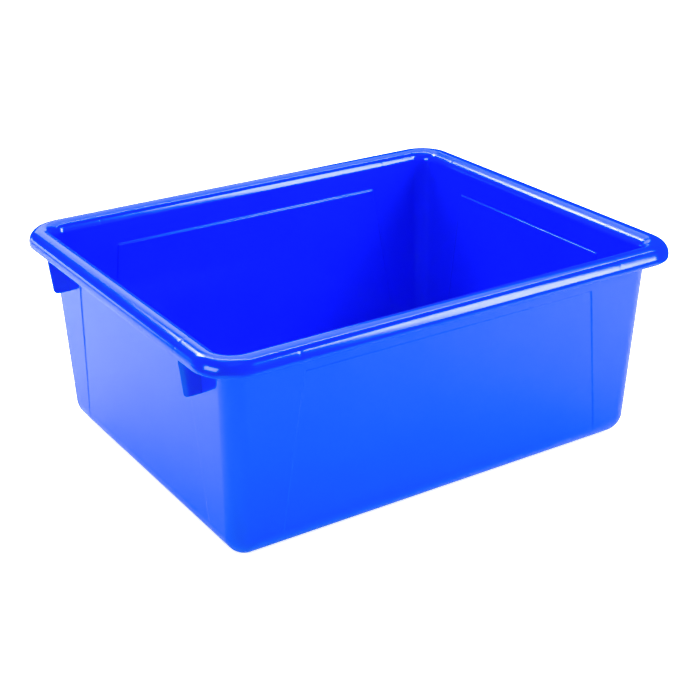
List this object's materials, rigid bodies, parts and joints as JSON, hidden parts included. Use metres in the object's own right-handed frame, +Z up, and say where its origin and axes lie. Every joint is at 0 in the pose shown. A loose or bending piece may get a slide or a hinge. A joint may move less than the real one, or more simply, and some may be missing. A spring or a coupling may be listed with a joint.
{
  "type": "storage bin",
  "caption": "Open rectangular tub with drafted panelled walls, rounded corners, a rolled rim and finger gussets under its short ends.",
  "frame": {"origin": "middle of the underside of the floor", "axes": "+X along the length, +Y across the width, +Z up"},
  "size_m": [0.4, 0.329, 0.163],
  "materials": {
    "bin_plastic": "glossy moulded plastic, saturated blue"
  },
  "bodies": {
    "root": {"floor": "bin_plastic", "front_wall": "bin_plastic", "back_wall": "bin_plastic", "left_end_wall": "bin_plastic", "right_end_wall": "bin_plastic", "front_left_wall_corner": "bin_plastic", "front_right_wall_corner": "bin_plastic", "back_left_wall_corner": "bin_plastic", "back_right_wall_corner": "bin_plastic", "front_rim": "bin_plastic", "back_rim": "bin_plastic", "left_end_rim": "bin_plastic", "right_end_rim": "bin_plastic", "front_left_rim_corner": "bin_plastic", "front_right_rim_corner": "bin_plastic", "back_left_rim_corner": "bin_plastic", "back_right_rim_corner": "bin_plastic", "left_end_front_gusset": "bin_plastic", "left_end_back_gusset": "bin_plastic", "right_end_front_gusset": "bin_plastic", "right_end_back_gusset": "bin_plastic", "front_left_rim_rib": "bin_plastic", "front_right_rim_rib": "bin_plastic", "back_left_rim_rib": "bin_plastic", "back_right_rim_rib": "bin_plastic"}
  },
  "joints": []
}
